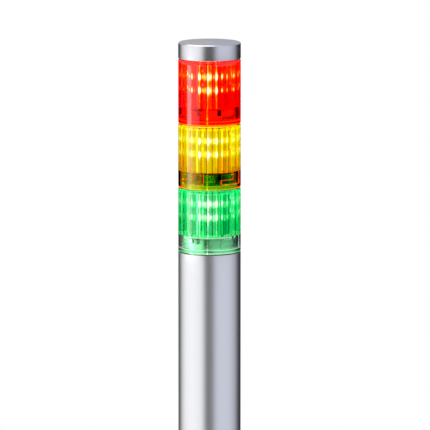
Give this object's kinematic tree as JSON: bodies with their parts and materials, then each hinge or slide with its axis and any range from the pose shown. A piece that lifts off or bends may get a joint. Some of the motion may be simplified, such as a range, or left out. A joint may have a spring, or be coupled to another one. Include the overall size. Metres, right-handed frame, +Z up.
{
  "type": "stack light",
  "caption": "Slim round stack light: a satin tube on a screw-down base carries stacked twist-on red, amber and green lamp modules under a flat silver cap.",
  "frame": {"origin": "centre of the underside of the base gasket", "axes": "+Z up along the tower's axis, -Y towards the front, where the bayonet angles are counted from"},
  "size_m": [0.03, 0.03, 0.2512],
  "materials": {
    "satin_tube": "satin anodised, drawn lengthwise",
    "silver_plastic": "satin silver lacquer",
    "base_plastic": "satin silver grey moulding",
    "lens_red": "clear tinted, polished",
    "lens_amber": "clear tinted, polished",
    "lens_green": "clear tinted, polished",
    "seal_rubber": "matt",
    "gasket_rubber": "matt",
    "carrier_plastic": "fine textured",
    "lamp_strip": "white solder mask",
    "lamp_package": "white package with a pale lens",
    "circuit_board": "green solder mask",
    "gold_contact": "gold flash",
    "spring_bronze": "bright rolled",
    "screw_steel": "zinc plated",
    "insert_brass": "machined",
    "black_moulding": "matt",
    "terminal_green": "matt",
    "capacitor_can": "satin"
  },
  "bodies": {
    "body": {"base_gasket": "gasket_rubber", "base_plug": "base_plastic", "threaded_inserts": "insert_brass", "cable_grommet": "gasket_rubber", "body_tube": "satin_tube", "control_board": "circuit_board", "bus_header": "black_moulding", "bus_pins": "gold_contact", "driver_chips": "black_moulding", "capacitor": "capacitor_can", "terminal_block": "terminal_green", "body_head": "silver_plastic", "body_contact_board": "circuit_board", "body_contact_pads": "gold_contact", "body_seal": "seal_rubber"},
    "green_module": {"green_lens": "lens_green", "green_led_carrier": "carrier_plastic", "green_led_strips": "lamp_strip", "green_leds": "lamp_package", "green_spring_board": "circuit_board", "green_contact_springs": "spring_bronze", "green_contact_board": "circuit_board", "green_contact_pads": "gold_contact", "green_unit_screw": "screw_steel", "green_seal": "seal_rubber"},
    "amber_module": {"amber_lens": "lens_amber", "amber_led_carrier": "carrier_plastic", "amber_led_strips": "lamp_strip", "amber_leds": "lamp_package", "amber_spring_board": "circuit_board", "amber_contact_springs": "spring_bronze", "amber_contact_board": "circuit_board", "amber_contact_pads": "gold_contact", "amber_unit_screw": "screw_steel", "amber_seal": "seal_rubber"},
    "red_module": {"red_lens": "lens_red", "red_led_carrier": "carrier_plastic", "red_led_strips": "lamp_strip", "red_leds": "lamp_package", "red_spring_board": "circuit_board", "red_contact_springs": "spring_bronze", "red_contact_board": "circuit_board", "red_contact_pads": "gold_contact", "red_unit_screw": "screw_steel", "red_seal": "seal_rubber"},
    "cap": {"top_cap": "silver_plastic"}
  },
  "joints": [
    {"name": "green_twist", "type": "hinge", "parent": "body", "child": "green_module", "pos_m": [0, 0, 0.15], "axis": [0, 0, 1], "range_deg": [0, 37]},
    {"name": "amber_twist", "type": "hinge", "parent": "green_module", "child": "amber_module", "pos_m": [0, 0, 0.181], "axis": [0, 0, 1], "range_deg": [0, 37]},
    {"name": "red_twist", "type": "hinge", "parent": "amber_module", "child": "red_module", "pos_m": [0, 0, 0.212], "axis": [0, 0, 1], "range_deg": [0, 37]},
    {"name": "cap_twist", "type": "hinge", "parent": "red_module", "child": "cap", "pos_m": [0, 0, 0.243], "axis": [0, 0, 1], "range_deg": [0, 37]}
  ]
}
